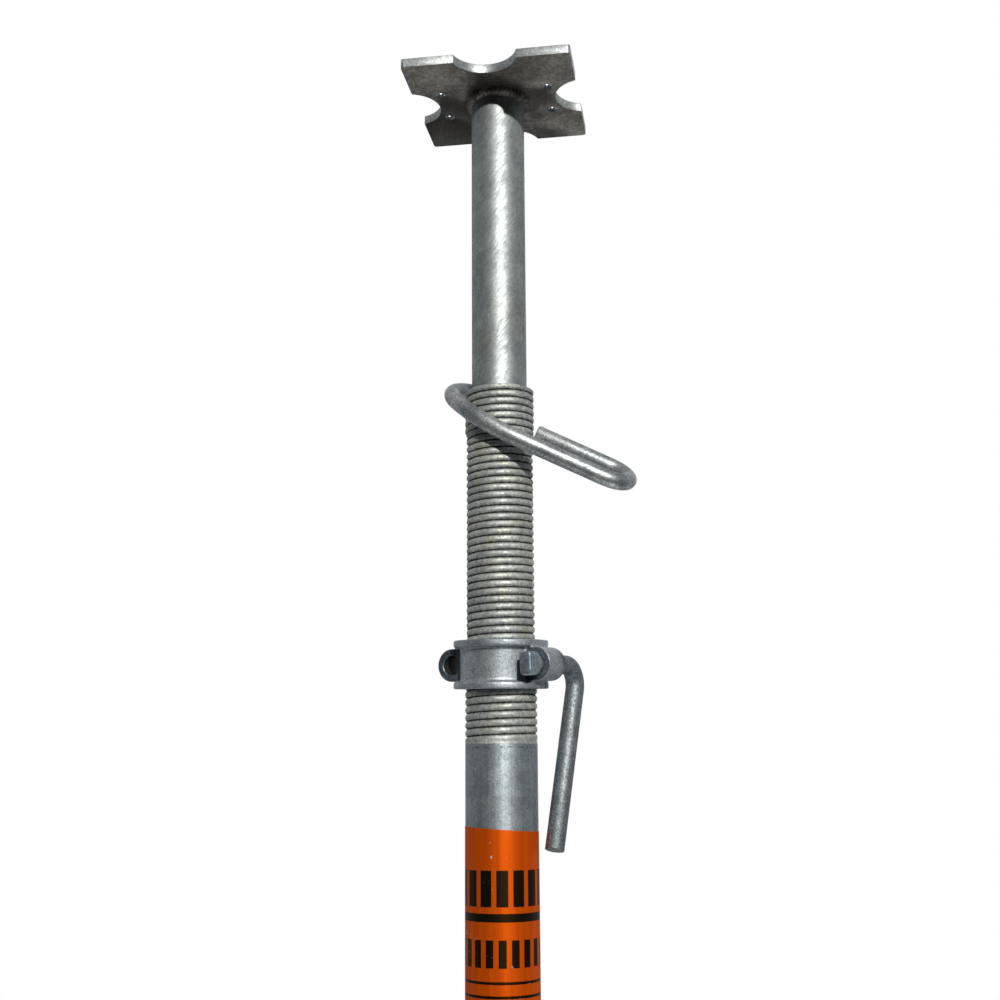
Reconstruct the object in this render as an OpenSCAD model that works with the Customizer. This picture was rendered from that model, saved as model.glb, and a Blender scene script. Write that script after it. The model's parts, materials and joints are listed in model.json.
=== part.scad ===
/* [Heights] */
// Height over both plates with the inner tube fully down
closed_height = 1980; // [1700:5:3000]
// How far the inner tube can be drawn out
travel = 1370; // [600:10:1500]
// Length of inner tube that shows above the outer tube when closed
inner_showing = 280; // [220:1:400]

/* [Plates] */
// Side of the square head and base plates
plate_side = 150; // [130:1:200]
// Thickness of the plates
plate_t = 8; // [5:0.5:12]
// Radius of the plate corners
plate_corner_r = 3; // [1:0.5:8]
// Distance between nail holes along X
nail_gap_x = 98; // [80:1:110]
// Distance between nail holes along Y
nail_gap_y = 42; // [36:1:60]
// Diameter of the nail holes
nail_hole_d = 9; // [5:0.5:14]
// Radius of the cut-out in each plate edge
cutout_r = 29; // [24:0.5:34]
// Depth of the cut-out in each plate edge
cutout_depth = 21; // [10:0.5:24]
// Turn of the head plate about the tube, against the base plate
head_turn = -8.85; // [-45:0.05:45]

/* [Outer tube] */
// Outer diameter of the outer tube, over the thread crests
outer_d = 60.3; // [58:0.1:64]
// Wall of the outer tube
outer_wall = 4; // [3.2:0.1:4.6]
// Length of the thread, down from the rim
thread_length = 308; // [240:1:400]
// Pitch of the thread
thread_pitch = 6.35; // [5:0.05:10]
// Depth of the thread grooves
thread_depth = 1.7; // [0.8:0.1:2]
// Width of the mouth of a thread groove
groove_w = 3.2; // [2:0.1:4]
// Width of the two slots for the pin
slot_w = 19; // [17:0.5:22]
// Length of the slots
slot_length = 200; // [120:5:230]
// Distance from the rim down to the slots
slot_below_rim = 36; // [20:1:60]

/* [Inner tube] */
// Outer diameter of the inner tube
inner_d = 48.3; // [46:0.1:50]
// Wall of the inner tube
inner_wall = 3.2; // [2.6:0.1:4.5]
// Diameter of the pin holes
pin_hole_d = 16; // [15:0.5:18]
// Spacing of the pin holes
pin_hole_gap = 100; // [80:5:150]
// Distance from the head plate down to the first pin hole
first_pin_hole = 420; // [380:5:460]

/* [Collar nut] */
// Height of the nut over both flanges
nut_height = 40.4; // [36:0.2:50]
// Distance from the rim down to the middle of the nut
nut_below_rim = 238.5; // [190:0.5:270]
// Lean of the nut on its loose thread, front side down
nut_lean = 3.5; // [0:0.5:4]
// Diameter of the flanges
flange_d = 80; // [76:0.5:86]
// Thickness of a flange at its edge
flange_t = 5.4; // [4:0.2:5.8]
// Diameter of the barrel between the flanges
barrel_d = 69; // [67:0.5:72]
// Least gap between the nut and the thread crests
nut_gap = 0.35; // [0.25:0.05:0.5]
// Diameter of the two bosses that carry the handle
boss_d = 28; // [26:0.5:29]
// Length of a boss
boss_length = 27; // [24:0.5:34]
// Distance from the tube axis to a boss axis
boss_offset = 41; // [40.5:0.5:48]
// Direction of the boss axes, from +X
boss_turn = 58.5; // [0:0.5:90]

/* [Handle] */
// Diameter of the handle bar
bar_d = 16; // [14:0.5:17]
// Gap all round the bar in its boss
bar_gap = 0.3; // [0.2:0.05:0.5]
// Gap along the bar between the boss and the flattened head
head_gap = 2; // [0.5:0.5:3]
// Width of the flattened head of the bar
head_w = 11; // [8:0.5:13]
// Height of the flattened head of the bar
head_h = 19.5; // [18:0.5:24]
// Length of the flattened head of the bar
head_length = 14.5; // [12:0.5:24]
// Straight length of bar between the boss and the bend
neck_length = 24; // [3:0.5:30]
// Radius of the bend, at the middle of the bar
bar_bend_r = 16; // [12:0.5:30]
// Angle of the bend
bar_bend = 109.5; // [88:0.5:112]
// Straight length of the arm below the bend
arm_length = 137; // [100:1:150]

/* [G-pin] */
// Diameter of the round bar of the pin
pin_d = 14.3; // [12:0.1:14.5]
// Straight length of the leg that enters the slots
pin_leg = 70.1; // [70:0.1:90]
// Radius of the bend between the two legs
pin_bend_r = 20.4; // [18:0.1:24]
// Straight length of the front leg
pin_front_leg = 75.2; // [60:0.1:78]
// Radius of the gentle bend into the loop
pin_sweep_r = 98.4; // [90:0.1:130]
// Angle of the gentle bend into the loop
pin_sweep = 42.7; // [36:0.1:54]
// Radius of the loop that goes round the tube
pin_loop_r = 37.2; // [36.5:0.1:40]
// Angle of the loop
pin_loop = 150; // [140:1:164]
// Straight length at the end of the loop
pin_tail = 4; // [2:1:12]
// Place of the pin's tip when parked: to the right, to the back, and down from the rim
pin_tip = [32.3, -8.5, -39];
// Turns of the parked pin about X, Y and Z
pin_turn = [27.6, 26.1, -3.9];

/* [Welds] */
// Leg of the weld round the foot of the outer tube
base_weld_leg = 6; // [3:0.5:9]
// Leg of the weld round the head of the inner tube
head_weld_leg = 6.5; // [3:0.5:9]

/* [Label] */
// Length of the coloured label
label_length = 300; // [100:10:400]
// Distance from the end of the thread down to the label
label_below_thread = 65; // [10:1:150]
// Thickness of the label
label_t = 0.3; // [0.2:0.05:0.6]

/* [Hidden] */
$fn = 64;

head_z = closed_height - plate_t;
rim_z = head_z - inner_showing;
thread_end_z = rim_z - thread_length;
thread_turns = floor(thread_length / thread_pitch);
slot_top_z = rim_z - slot_below_rim;
nut_z = rim_z - nut_below_rim;
pin_holes = floor(travel / pin_hole_gap) + 1;
label_top_z = thread_end_z - label_below_thread;

nut_bore_r = outer_d / 2 + nut_gap;
bore_flare = nut_height / 2 * tan(nut_lean);
boss_bore_d = bar_d + 2 * bar_gap;
// How far the web behind a boss stays inside the boss, above and below
boss_web_inset = 4;
boss_web_h = boss_d - 2 * boss_web_inset;
// Height gained by the flanges' inner faces for each millimetre towards the barrel
flange_rise = 0.25;
// Corner radius and shoulder of the flattened head, as shares of its width
head_corner_share = 1 / 3;
head_shoulder_share = 1 / 4;

// How far the free-hanging arm swings out from the leaning nut's own vertical
arm_hang = atan(tan(nut_lean) * cos(boss_turn));

overcut = 1;
// Where lengths of one bar meet: how far a straight runs into a bend, and how much thicker the bend is
bar_lap = 1;
bend_swell = 0.05;
bar_chamfer = 0.8;

// A square with round corners, centred on the axis
module round_square(side, corner_r) {
    for (x = [-1, 1], y = [-1, 1]) {
        translate([x, y] * (side / 2 - corner_r)) circle(r = corner_r);
    }
    square([side, side - 2 * corner_r], center = true);
    square([side - 2 * corner_r, side], center = true);
}

// A plate with four nail holes and a rounded cut-out in each edge, standing on z = 0
module end_plate() {
    linear_extrude(plate_t) difference() {
        round_square(plate_side, plate_corner_r);
        for (x = [-1, 1], y = [-1, 1]) {
            translate([x * nail_gap_x, y * nail_gap_y] / 2) circle(d = nail_hole_d);
        }
        for (turn = [0 : 90 : 270]) {
            rotate(turn) translate([plate_side / 2 + cutout_r - cutout_depth, 0]) circle(r = cutout_r);
        }
    }
}

// A rounded weld bead in the corner between a plate at z = 0 and a tube above it
module weld_bead(tube_d, leg) {
    rotate_extrude() intersection() {
        translate([tube_d / 2, 0]) circle(r = leg);
        translate([tube_d / 2, 0]) square(leg);
    }
}

module tube(outside_d, wall, length) {
    difference() {
        cylinder(d = outside_d, h = length);
        translate([0, 0, -overcut]) cylinder(d = outside_d - 2 * wall, h = length + 2 * overcut);
    }
}

// One groove of the thread, open outwards, centred on z = 0
module groove() {
    root_r = outer_d / 2 - thread_depth;
    mouth_r = outer_d / 2 + overcut;
    half_mouth = groove_w / 2 * (mouth_r - root_r) / thread_depth;
    rotate_extrude() polygon([[root_r, 0], [mouth_r, -half_mouth], [mouth_r, half_mouth]]);
}

// A slot right through the tube along X, with round ends, its top at z = 0
module slot() {
    rotate([90, 0, 90]) linear_extrude(outer_d + 2 * overcut, center = true) {
        translate([0, -slot_w / 2]) circle(d = slot_w);
        translate([0, slot_w / 2 - slot_length]) circle(d = slot_w);
        translate([-slot_w / 2, slot_w / 2 - slot_length]) square([slot_w, slot_length - slot_w]);
    }
}

// A straight length of round bar along +X, lapped into the bends at both ends; what follows starts at its end
module straight(bar, length) {
    translate([-bar_lap, 0, 0]) rotate([0, 90, 0]) cylinder(d = bar, h = length + 2 * bar_lap);
    translate([length, 0, 0]) children();
}

// The last straight length of a bar, lapped at its start and tapered towards its free end
module end_straight(bar, length, taper, end_d) {
    rotate([0, 90, 0]) rotate_extrude() polygon([
        [0, -bar_lap],
        [bar / 2, -bar_lap],
        [bar / 2, length - taper],
        [end_d / 2, length],
        [0, length]
    ]);
}

// A bend of round bar that turns from +X towards -Y; what follows starts at its end
module bend(bar, radius, angle) {
    translate([0, -radius, 0]) {
        rotate(90 - angle) rotate_extrude(angle = angle) {
            translate([radius, 0]) circle(r = bar / 2 + bend_swell);
        }
        rotate(-angle) translate([0, radius, 0]) children();
    }
}

// A bar along +X with a flattened, rounded section
module flat_bar(length, width, height, corner_r) {
    rotate([90, 0, 90]) linear_extrude(length) {
        for (y = [-1, 1], z = [-1, 1]) {
            translate([y * (width / 2 - corner_r), z * (height / 2 - corner_r)]) circle(r = corner_r);
        }
        square([width, height - 2 * corner_r], center = true);
        square([width - 2 * corner_r, height], center = true);
    }
}

// Puts its children on the leaning nut: +X along a boss axis, origin in the middle of the nut
module on_nut() {
    translate([0, 0, nut_z]) rotate([nut_lean, 0, 0]) rotate(boss_turn) children();
}

module base_plate() {
    color("#6f7378") end_plate();
}

module base_weld() {
    color("#7d8084") translate([0, 0, plate_t]) weld_bead(outer_d, base_weld_leg);
}

module outer_tube() {
    color("#8b9196") difference() {
        translate([0, 0, plate_t]) tube(outer_d, outer_wall, rim_z - plate_t);
        for (turn = [1 : thread_turns]) {
            translate([0, 0, rim_z - (turn - 0.5) * thread_pitch]) groove();
        }
        translate([0, 0, slot_top_z]) slot();
    }
}

module label() {
    color("#d9640f") translate([0, 0, label_top_z - label_length]) {
        tube(outer_d + 2 * label_t, label_t, label_length);
    }
}

module inner_tube() {
    color("#99a3ad") difference() {
        translate([0, 0, plate_t]) tube(inner_d, inner_wall, head_z - plate_t);
        for (hole = [0 : pin_holes - 1]) {
            translate([0, 0, head_z - first_pin_hole - hole * pin_hole_gap]) rotate([0, 90, 0]) {
                cylinder(d = pin_hole_d, h = inner_d + 2 * overcut, center = true);
            }
        }
    }
}

module head_weld() {
    color("#7d8084") translate([0, 0, head_z]) mirror([0, 0, 1]) weld_bead(inner_d, head_weld_leg);
}

module head_plate() {
    color("#6f7378") translate([0, 0, head_z]) rotate(head_turn) end_plate();
}

// The turned outline of the nut: a barrel between two flanges with sloping inner faces
module nut_barrel() {
    slope = (flange_d - barrel_d) / 2 * flange_rise;
    rotate_extrude() polygon([
        [0, -nut_height / 2],
        [flange_d / 2, -nut_height / 2],
        [flange_d / 2, flange_t - nut_height / 2],
        [barrel_d / 2, flange_t + slope - nut_height / 2],
        [barrel_d / 2, nut_height / 2 - flange_t - slope],
        [flange_d / 2, nut_height / 2 - flange_t],
        [flange_d / 2, nut_height / 2],
        [0, nut_height / 2]
    ]);
}

// The bore: narrowest at mid-height, and flared so that the leaning nut stays clear of the thread
module nut_bore() {
    end_r = nut_bore_r + bore_flare;
    over_r = end_r + overcut * tan(nut_lean);
    rotate_extrude() polygon([
        [0, -nut_height / 2 - overcut],
        [over_r, -nut_height / 2 - overcut],
        [nut_bore_r, 0],
        [over_r, nut_height / 2 + overcut],
        [0, nut_height / 2 + overcut]
    ]);
}

module collar_nut() {
    color("#9a9ea2") on_nut() difference() {
        union() {
            nut_barrel();
            for (side = [-1, 1]) {
                translate([0, side * boss_offset, 0]) {
                    rotate([0, 90, 0]) cylinder(d = boss_d, h = boss_length, center = true);
                    translate([0, -side * (boss_offset - nut_bore_r) / 2, 0]) {
                        cube([boss_length, boss_offset - nut_bore_r, boss_web_h], center = true);
                    }
                }
            }
        }
        nut_bore();
        for (side = [-1, 1]) {
            translate([0, side * boss_offset, 0]) rotate([0, 90, 0]) {
                cylinder(d = boss_bore_d, h = boss_length + 2 * overcut, center = true);
            }
        }
    }
}

// The bar through the right boss: flattened head in front, bend and hanging arm behind
module handle() {
    head_x = -boss_length / 2 - head_gap;
    neck_x = boss_length / 2 + neck_length;
    shoulder = head_w * head_shoulder_share;
    color("#85807a") on_nut() translate([0, -boss_offset, 0]) rotate([-arm_hang, 0, 0]) {
        translate([head_x - head_length, 0, 0]) {
            flat_bar(head_length, head_w, head_h, head_w * head_corner_share);
        }
        translate([neck_x, 0, 0]) rotate([90, 0, 0]) {
            mirror([1, 0, 0]) end_straight(bar_d, neck_x - head_x + shoulder, shoulder, head_w);
            bend(bar_d, bar_bend_r, bar_bend) {
                end_straight(bar_d, arm_length, bar_chamfer, bar_d - 2 * bar_chamfer);
            }
        }
    }
}

// The pin: a straight leg, a return bend, a front leg, and a loop that hangs round the tube
module g_pin() {
    end_d = pin_d - 2 * bar_chamfer;
    color("#7f868c") translate([0, 0, rim_z] + pin_tip) rotate(pin_turn) {
        translate([pin_leg, 0, 0]) {
            mirror([1, 0, 0]) end_straight(pin_d, pin_leg, bar_chamfer, end_d);
            bend(pin_d, pin_bend_r, 180) straight(pin_d, pin_front_leg) {
                bend(pin_d, pin_sweep_r, pin_sweep) straight(pin_d, bar_lap) {
                    bend(pin_d, pin_loop_r, pin_loop) end_straight(pin_d, pin_tail, bar_chamfer, end_d);
                }
            }
        }
    }
}

base_plate();
base_weld();
outer_tube();
label();
inner_tube();
head_weld();
head_plate();
collar_nut();
handle();
g_pin();
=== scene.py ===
"""Adjustable steel prop: fine shapes, finishes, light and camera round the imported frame.

Everything is in metres in the frame's own axes: +Z runs up the tubes, +X through the pin slots, and the
base plate stands on z = 0.
"""
from __future__ import annotations

import json
import logging
import math
from dataclasses import dataclass, field, replace
from enum import Enum
from typing import Any, Callable, Iterable, Sequence

import bmesh
import bpy
from bmesh.types import BMEdge, BMesh, BMVert
from bpy.types import Material, MeshPolygon, Node, NodeTree, Object
from mathutils import Matrix, Vector

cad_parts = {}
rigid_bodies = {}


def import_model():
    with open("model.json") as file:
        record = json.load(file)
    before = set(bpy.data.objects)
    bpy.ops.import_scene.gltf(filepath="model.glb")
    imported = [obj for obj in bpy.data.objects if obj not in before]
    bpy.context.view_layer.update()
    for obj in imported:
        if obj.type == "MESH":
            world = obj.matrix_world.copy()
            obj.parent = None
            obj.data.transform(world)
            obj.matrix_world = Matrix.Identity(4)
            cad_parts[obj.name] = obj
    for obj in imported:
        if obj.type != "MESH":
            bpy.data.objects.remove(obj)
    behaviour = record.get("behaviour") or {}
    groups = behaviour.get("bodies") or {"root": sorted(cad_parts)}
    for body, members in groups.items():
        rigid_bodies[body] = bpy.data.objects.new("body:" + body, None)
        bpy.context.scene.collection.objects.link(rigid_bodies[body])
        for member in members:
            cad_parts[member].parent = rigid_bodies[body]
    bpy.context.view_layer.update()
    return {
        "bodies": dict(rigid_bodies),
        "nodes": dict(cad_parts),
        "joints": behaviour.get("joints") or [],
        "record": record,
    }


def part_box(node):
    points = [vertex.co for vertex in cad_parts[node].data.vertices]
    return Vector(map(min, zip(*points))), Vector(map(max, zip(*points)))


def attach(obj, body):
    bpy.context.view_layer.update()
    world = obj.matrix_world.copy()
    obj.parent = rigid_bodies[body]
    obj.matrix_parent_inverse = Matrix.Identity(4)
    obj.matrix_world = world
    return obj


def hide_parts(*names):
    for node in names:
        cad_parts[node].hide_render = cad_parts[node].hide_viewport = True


log = logging.getLogger("prop")

MM = 0.001
FULL_TURN = 2 * math.pi
# Lays what stands along +Z along +X.
SIDEWAYS = Matrix.Rotation(math.pi / 2, 4, "Y")


class Body(Enum):
    """The moving bodies of the frame."""

    OUTER = "outer"
    INNER = "inner"
    COLLAR = "collar"
    HANDLE = "handle"
    PIN = "pin"


# ---- Mesh helpers ----


def verts_of(geom: Iterable[Any]) -> list[BMVert]:
    """Picks the vertices from an operator's geometry."""
    return [item for item in geom if isinstance(item, BMVert)]


def chain(bm: BMesh, points: Sequence[Sequence[float]], closed: bool = False) -> list[Any]:
    """Makes a chain of edges through the points.

    Args:
        bm: The mesh to add to.
        points: Points in metres.
        closed: Whether the last point joins the first.

    Returns:
        The new vertices and edges, as geometry for an operator.
    """
    verts = [bm.verts.new(point) for point in points]
    pairs = list(zip(verts, verts[1:]))
    if closed:
        pairs.append((verts[-1], verts[0]))
    return verts + [bm.edges.new(pair) for pair in pairs]


def revolve(bm: BMesh, profile: Sequence[tuple[float, float]], steps: int,
            closed: bool = True) -> None:
    """Turns a profile of (radius, height) about Z into a full ring.

    Args:
        bm: The mesh to add to.
        profile: Radius and height of each corner, in metres.
        steps: Number of facets round the ring.
        closed: Whether the profile is a closed loop.
    """
    geom = chain(bm, [(radius, 0, height) for radius, height in profile], closed)
    bmesh.ops.spin(bm, geom=geom, cent=(0, 0, 0), axis=(0, 0, 1), dvec=(0, 0, 0), angle=FULL_TURN,
                   steps=steps, use_merge=True, use_duplicate=False)


def shade(bm: BMesh, crease_deg: float = 35.0) -> None:
    """Shades all faces smooth and keeps edges sharper than the crease angle sharp.

    Args:
        bm: The mesh.
        crease_deg: Angle above which an edge stays sharp.
    """
    limit = math.radians(crease_deg)
    for face in bm.faces:
        face.smooth = True
    for edge in bm.edges:
        edge.smooth = len(edge.link_faces) == 2 and edge.calc_face_angle(0) < limit


def to_object(bm: BMesh, name: str, place: Matrix | None = None, crease_deg: float = 35.0,
              merge: float = 1e-6) -> Object:
    """Turns a bmesh into an object at the origin, with clean normals.

    Args:
        bm: The mesh, which is freed.
        name: Name of the object and its mesh.
        place: Where the mesh goes in the frame.
        crease_deg: Angle above which an edge stays sharp.
        merge: Distance within which vertices are merged, in metres.

    Returns:
        The new object, linked to the scene.
    """
    bmesh.ops.remove_doubles(bm, verts=bm.verts, dist=merge)
    if place is not None:
        bmesh.ops.transform(bm, matrix=place, verts=bm.verts)
    bmesh.ops.recalc_face_normals(bm, faces=bm.faces)
    shade(bm, crease_deg)
    mesh = bpy.data.meshes.new(name)
    bm.to_mesh(mesh)
    bm.free()
    obj = bpy.data.objects.new(name, mesh)
    bpy.context.scene.collection.objects.link(obj)
    return obj


def bake(obj: Object, crease_deg: float = 35.0,
         change: Callable[[BMesh], None] | None = None) -> Object:
    """Applies an object's modifiers to its mesh, then shades it again.

    Args:
        obj: The object to bake.
        crease_deg: Angle above which an edge stays sharp.
        change: A further change to make to the baked mesh.

    Returns:
        The same object.
    """
    graph = bpy.context.evaluated_depsgraph_get()
    mesh = bpy.data.meshes.new_from_object(obj.evaluated_get(graph))
    obj.modifiers.clear()
    bm = bmesh.new()
    bm.from_mesh(mesh)
    if change:
        change(bm)
    shade(bm, crease_deg)
    bm.to_mesh(mesh)
    bm.free()
    mesh.name = obj.name
    obj.data = mesh
    return obj


def carve(obj: Object, cutter: Object, crease_deg: float = 35.0) -> Object:
    """Cuts one closed object out of another and deletes the cutter.

    Args:
        obj: The object to cut.
        cutter: The object to cut out of it.
        crease_deg: Angle above which an edge stays sharp.

    Returns:
        The cut object.
    """
    cut = obj.modifiers.new("cut", "BOOLEAN")
    cut.operation = "DIFFERENCE"
    cut.solver = "MANIFOLD"
    cut.object = cutter
    bake(obj, crease_deg)
    bpy.data.objects.remove(cutter)
    return obj


def round_edges(bm: BMesh, radius: float, segments: int = 2, above_deg: float = 40.0) -> None:
    """Rounds every edge sharper than an angle.

    Args:
        bm: The mesh.
        radius: Radius of the rounding, in metres.
        segments: Faces across the rounding.
        above_deg: Angle above which an edge is rounded.
    """
    sharp = [edge for edge in bm.edges if len(edge.link_faces) == 2
             and edge.calc_face_angle(0) > math.radians(above_deg)]
    bmesh.ops.bevel(bm, geom=sharp, offset=radius, offset_type="OFFSET", affect="EDGES", segments=segments,
                    profile=0.5, material=-1, clamp_overlap=True)


def add_cylinder(bm: BMesh, radius: float, length: float, place: Matrix,
                 segments: int = 48) -> None:
    """Adds a closed cylinder along its own Z, centred, then placed."""
    bmesh.ops.create_cone(bm, cap_ends=True, cap_tris=False, segments=segments, radius1=radius,
                          radius2=radius, depth=length, matrix=place)


@dataclass
class BarSweep:
    """A bar drawn step by step, as a smith bends it: straights and bends that follow each other.

    The bar starts at the origin and runs along +X; a positive bend turns it towards its own -Y.
    """

    radius: float
    sides: int = 40
    bm: BMesh = field(default_factory=bmesh.new)
    place: Matrix = field(default_factory=Matrix)
    ring: list[Any] = field(default_factory=list)

    def start(self, rounding: float) -> None:
        """Makes the closed first end, with a rounded rim.

        Args:
            rounding: Radius of the rim, in metres.
        """
        made = bmesh.ops.create_circle(self.bm, cap_ends=True, radius=self.radius - rounding,
                                       segments=self.sides, matrix=self.place @ SIDEWAYS)
        verts = made["verts"]
        self.ring = list({edge for vert in verts for edge in vert.link_edges})
        self.step(rounding * 0.3, self.radius - rounding * 0.3)
        self.step(rounding * 0.7, self.radius)

    def extrude(self) -> list[Any]:
        """Extrudes the end ring in place.

        Returns:
            Its new vertices.
        """
        made = bmesh.ops.extrude_edge_only(self.bm, edges=self.ring)["geom"]
        self.ring = [item for item in made if isinstance(item, BMEdge)
                     and all(vert in made for vert in item.verts)]
        self.ring = [edge for edge in self.ring if len(edge.link_faces) < 2]
        return list({vert for edge in self.ring for vert in edge.verts})

    def step(self, length: float, radius: float | None = None,
             shape: Callable[[Vector], Vector] | None = None) -> None:
        """Goes straight on by a length, and may change the section.

        Args:
            length: Distance along the bar.
            radius: New radius of the round section.
            shape: Maps a unit vector across the bar (x unused) to the section's own point there.
        """
        verts = self.extrude()
        back = self.place.inverted()
        self.place = self.place @ Matrix.Translation((length, 0, 0))
        for vert in verts:
            local = back @ vert.co
            local.x = 0
            if radius is not None:
                local = local.normalized() * radius
            if shape is not None:
                local = shape(local.normalized())
            vert.co = self.place @ local

    def bend(self, radius: float, degrees: float, steps: int) -> None:
        """Bends the bar towards its own -Y about a centre at the given radius.

        Args:
            radius: Radius of the bend at the bar's middle, in metres.
            degrees: Angle of the bend.
            steps: Rings along the bend.
        """
        centre = self.place @ Vector((0, -radius, 0))
        axis = self.place.to_3x3() @ Vector((0, 0, -1))
        angle = math.radians(degrees)
        verts = list({vert for edge in self.ring for vert in edge.verts})
        made = bmesh.ops.spin(self.bm, geom=verts + self.ring, cent=centre, axis=axis, dvec=(0, 0, 0),
                              angle=angle, steps=steps, use_merge=False, use_duplicate=False)
        self.ring = [item for item in made["geom_last"] if isinstance(item, BMEdge)]
        turn = Matrix.Rotation(angle, 4, axis)
        self.place = Matrix.Translation(centre) @ turn @ Matrix.Translation(-centre) @ self.place

    def finish(self, rounding: float) -> None:
        """Closes the bar with a rounded rim.

        Args:
            rounding: Radius of the rim, in metres.
        """
        self.step(rounding * 0.7, self.radius - rounding * 0.3)
        self.step(rounding * 0.3, self.radius - rounding)
        bmesh.ops.edgeloop_fill(self.bm, edges=self.ring)


# ---- Finishes ----


# Near-black of pits and soot, also used as painted shade in the thread's grooves and on one side of the
# plates' undersides.
SOOT_AND_SHADE = "#1f1d1b"
# What a kind of node is set to unless its call says otherwise.
USUAL = {"MapRange": {"interpolation_type": "SMOOTHSTEP"}, "Mix": {"data_type": "RGBA"}}
Add = Callable[..., str]
# Nearly all values of a noise lie in this span.
NOISE_SPAN = (0.3, 0.7)


def linear(hex_colour: str) -> tuple[float, float, float, float]:
    """Turns an sRGB hex colour into linear RGBA.

    Args:
        hex_colour: The colour, such as #8a969f.

    Returns:
        Red, green, blue and an alpha of one.
    """
    def channel(value: float) -> float:
        """Turns one sRGB channel into a linear one."""
        return value / 12.92 if value <= 0.04045 else ((value + 0.055) / 1.055) ** 2.4

    digits = hex_colour.lstrip("#")
    return (*(channel(int(digits[i:i + 2], 16) / 255) for i in (0, 2, 4)), 1.0)


@dataclass
class Nodes:
    """A node tree that is built step by step: each node has a name, and feeds later nodes by it."""

    tree: NodeTree
    made: dict[str, Node] = field(default_factory=dict)

    def add(self, name: str, kind: str, inputs: dict[Any, Any] | Sequence[Any] = (), **settings: Any) -> str:
        """Adds a node with its settings and links.

        Args:
            name: What later nodes call it. A name that is used again stands for the newer node.
            kind: The node's type, without its ShaderNode, and its operation where it has one.
            inputs: Value of each input, by name or number, or in order. A text is the name of the node that
                feeds the input, with a dot and the output's name where it isn't the first one in use.
            settings: Properties to set on the node.

        Returns:
            The name.
        """
        kind, _, operation = kind.partition(" ")
        node = self.tree.nodes.new("ShaderNode" + kind)
        if operation:
            node.operation = operation
        for key, value in {**USUAL.get(kind, {}), **settings}.items():
            setattr(node, key, value)
        for key, value in inputs.items() if isinstance(inputs, dict) else enumerate(inputs):
            if isinstance(value, str):
                source, _, output = value.partition(".")
                outputs = self.made[source].outputs
                feed = outputs[output] if output else next(item for item in outputs if item.enabled)
                self.tree.links.new(feed, node.inputs[key])
            else:
                node.inputs[key].default_value = value
        self.made[name] = node
        return name


def new_material(name: str) -> tuple[Material, Add]:
    """Makes a material with an empty node tree.

    Args:
        name: Name of the material.

    Returns:
        The material, and the function that adds a node to it.
    """
    material = bpy.data.materials.new(name)
    material.use_nodes = True
    material.node_tree.nodes.clear()
    return material, Nodes(material.node_tree).add


@dataclass(frozen=True)
class DirtAndShade:
    """A dark layer with a ragged edge: dirt and scorch in some finishes, painted shade in others.

    It lies by distance in millimetres, from the tubes' axis or along a direction: fade_mm says where it is
    gone and where it is full. Its edge follows blotches of their own size, or the wipe marks where none is
    given.
    """

    colour: str
    fade_mm: tuple[float, float]
    depth: float
    ragged_mm: float
    blotch_mm: float | None = None
    along: tuple[float, float, float] | None = None


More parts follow.
